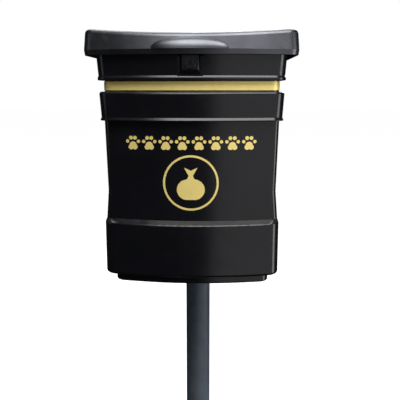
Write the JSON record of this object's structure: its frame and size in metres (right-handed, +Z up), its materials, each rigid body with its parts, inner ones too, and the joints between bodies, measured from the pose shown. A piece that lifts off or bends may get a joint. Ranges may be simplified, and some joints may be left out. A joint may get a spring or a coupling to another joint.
{
  "type": "dog waste bin",
  "caption": "Post-mounted dog waste bin with a bowed black body, gold neck band, lockable swing-back hood, self-closing lid and a lift-out metal liner.",
  "frame": {"origin": "post axis at the underside of the base plate, at the centre of its bolt holes", "axes": "+Z up along the post, -Y out through the bin's front, +X to the right seen from the front"},
  "size_m": [0.408, 0.5115, 1.0867],
  "materials": {
    "black_plastic": "semi-gloss moulded black polyethylene",
    "lid_plastic": "satin moulded dark grey-black polyethylene",
    "gold_film": "satin gold film",
    "post_paint": "slate grey powder coat",
    "plate_paint": "slate grey powder coat",
    "clamp_metal": "cast aluminium, dark powder coat",
    "galvanised": "galvanised sheet steel",
    "zinc_steel": "bright zinc plated steel",
    "stainless": "brushed stainless steel",
    "lock_metal": "black coated zinc casting",
    "rubber": "black rubber"
  },
  "bodies": {
    "stand": {"base_plate": "plate_paint", "base_gussets": "plate_paint", "post": "post_paint", "post_cap": "rubber", "upper_bracket": "clamp_metal", "upper_strap": "clamp_metal", "lower_bracket": "clamp_metal", "lower_strap": "clamp_metal", "clamp_bolts": "zinc_steel", "clamp_nuts": "zinc_steel", "backing_plates": "galvanised", "mounting_bolts": "zinc_steel", "mounting_nuts": "zinc_steel", "body_shell": "black_plastic", "gold_band": "gold_film", "emblem_ring": "gold_film", "emblem_bag": "gold_film", "paw_row": "gold_film", "hood_hinge_rod": "stainless", "hood_hinge_rod_caps": "rubber", "hood_buffers": "rubber", "keeper": "zinc_steel", "keeper_screws": "zinc_steel", "liner": "galvanised", "liner_ears": "galvanised", "liner_rivets": "galvanised"},
    "hood": {"hood": "black_plastic", "lock_housing": "black_plastic", "lock_barrel": "lock_metal", "lock_nut": "zinc_steel", "lid_hinge_rod": "stainless", "lid_hinge_rod_caps": "rubber", "lid_buffers": "rubber"},
    "lid": {"lid": "lid_plastic"},
    "lock": {"lock_plug": "lock_metal", "lock_cam": "zinc_steel", "cam_screw": "zinc_steel"},
    "handle": {"liner_handle": "zinc_steel", "handle_grip": "rubber"}
  },
  "joints": [
    {"name": "hood_hinge", "type": "hinge", "parent": "stand", "child": "hood", "pos_m": [0, -0.042, 0.983], "axis": [-1, 0, 0], "range_deg": [0, 95]},
    {"name": "lid_hinge", "type": "hinge", "parent": "hood", "child": "lid", "pos_m": [0, -0.043, 1.044], "axis": [-1, 0, 0], "range_deg": [0, 75]},
    {"name": "lock_turn", "type": "hinge", "parent": "hood", "child": "lock", "pos_m": [0, -0.34, 1.023], "axis": [0, -1, 0], "range_deg": [0, 90]},
    {"name": "handle_swing", "type": "hinge", "parent": "stand", "child": "handle", "pos_m": [0, -0.192, 0.9853], "axis": [1, 0, 0], "range_deg": [0, 180]}
  ]
}
